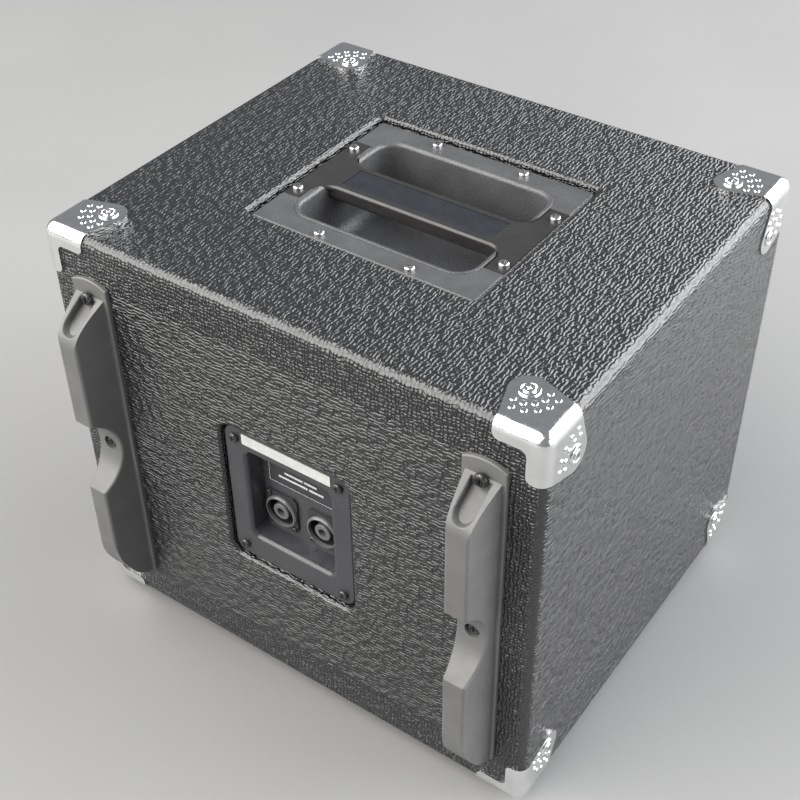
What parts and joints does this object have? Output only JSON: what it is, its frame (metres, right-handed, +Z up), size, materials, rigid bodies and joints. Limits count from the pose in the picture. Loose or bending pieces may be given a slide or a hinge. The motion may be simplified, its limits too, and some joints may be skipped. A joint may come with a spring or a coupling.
{
  "type": "bass speaker cabinet",
  "caption": "Compact vinyl-covered bass speaker cabinet with a recessed bar handle, rear jack plate, rubber rear runners, chromed corners and sprung speaker cones.",
  "frame": {"origin": "centre of the whole object's footprint, on the plane the feet stand on", "axes": "+Z up, drivers face -Y, jack plate and runners face +Y, X is left to right"},
  "size_m": [0.3804, 0.3506, 0.3377],
  "materials": {
    "plywood": "bare birch ply, matt",
    "vinyl": "black textured vinyl, satin",
    "tray_plastic": "fine stippled black plastic",
    "bar_plastic": "smooth dark plastic, satin",
    "name_plate": "smooth dark blue-black, satin",
    "black_zinc": "black screws, worn bright on the crosses",
    "steel_screw": "bright zinc",
    "jack_plastic": "satin black plastic",
    "label": "plain silver-grey strip",
    "legend": "dark printed panel, plain bars",
    "socket_black": "black nylon",
    "socket_ring": "grey ring, satin",
    "socket_core": "grey nylon",
    "runner": "moulded grey rubber, fine matt grain",
    "corner_chrome": "bright nickel-plated pressed steel",
    "corner_screw": "bright plated screw",
    "foot_rubber": "black rubber",
    "grille_steel": "black powder coat",
    "batten_black": "black-stained softwood",
    "badge": "brushed, blank",
    "basket": "black-coated casting",
    "ferrite": "dark grey ferrite",
    "plated_steel": "zinc-plated",
    "gasket": "foam rubber",
    "board": "brown tag board",
    "cable": "black twin cable",
    "clip": "white nylon",
    "wadding": "white polyester wadding",
    "cone": "dark treated paper",
    "coil": "copper winding on a brown former",
    "surround": "butyl rubber, satin",
    "spider": "yellow impregnated cloth"
  },
  "bodies": {
    "cabinet": {"panel_top": "plywood", "panel_bottom": "plywood", "panel_left": "plywood", "panel_right": "plywood", "panel_rear": "plywood", "front_baffle": "plywood", "panel_battens": "plywood", "brace_post": "plywood", "vinyl_wrap": "vinyl", "vinyl_rear": "vinyl", "handle_tray": "tray_plastic", "handle_bar": "bar_plastic", "name_plate": "name_plate", "handle_screws": "steel_screw", "jack_plate": "jack_plastic", "label_strip": "label", "legend_plate": "legend", "socket_shells": "socket_black", "socket_rings": "socket_ring", "socket_cores": "socket_core", "socket_screws": "black_zinc", "jack_plate_screws": "black_zinc", "runner_left": "runner", "runner_right": "runner", "runner_screws": "steel_screw", "corners_top": "corner_chrome", "corners_bottom": "corner_chrome", "corner_screws": "corner_screw", "feet": "foot_rubber", "foot_screws": "steel_screw", "grille_sheet": "grille_steel", "grille_battens": "batten_black", "grille_screws": "black_zinc", "badge": "badge", "driver_baskets": "basket", "driver_top_plates": "plated_steel", "driver_magnets": "ferrite", "driver_back_plates": "plated_steel", "driver_gaskets": "gasket", "driver_screws": "black_zinc", "driver_terminals": "board", "internal_wiring": "cable", "cable_clips": "clip", "wadding": "wadding", "surround_1": "surround", "spider_1": "spider", "surround_2": "surround", "spider_2": "spider", "surround_3": "surround", "spider_3": "spider", "surround_4": "surround", "spider_4": "spider"},
    "cone_body_1": {"cone_1": "cone", "voice_coil_1": "coil"},
    "cone_body_2": {"cone_2": "cone", "voice_coil_2": "coil"},
    "cone_body_3": {"cone_3": "cone", "voice_coil_3": "coil"},
    "cone_body_4": {"cone_4": "cone", "voice_coil_4": "coil"}
  },
  "joints": [
    {"name": "cone_travel_1", "type": "slide", "parent": "cabinet", "child": "cone_body_1", "axis": [0, -1, 0], "range_m": [-0.005, 0.005], "stiffness_N_per_m": 1200, "deforming": ["surround_1", "spider_1"]},
    {"name": "cone_travel_2", "type": "slide", "parent": "cabinet", "child": "cone_body_2", "axis": [0, -1, 0], "range_m": [-0.005, 0.005], "stiffness_N_per_m": 1200, "deforming": ["surround_2", "spider_2"]},
    {"name": "cone_travel_3", "type": "slide", "parent": "cabinet", "child": "cone_body_3", "axis": [0, -1, 0], "range_m": [-0.005, 0.005], "stiffness_N_per_m": 1200, "deforming": ["surround_3", "spider_3"]},
    {"name": "cone_travel_4", "type": "slide", "parent": "cabinet", "child": "cone_body_4", "axis": [0, -1, 0], "range_m": [-0.005, 0.005], "stiffness_N_per_m": 1200, "deforming": ["surround_4", "spider_4"]}
  ]
}
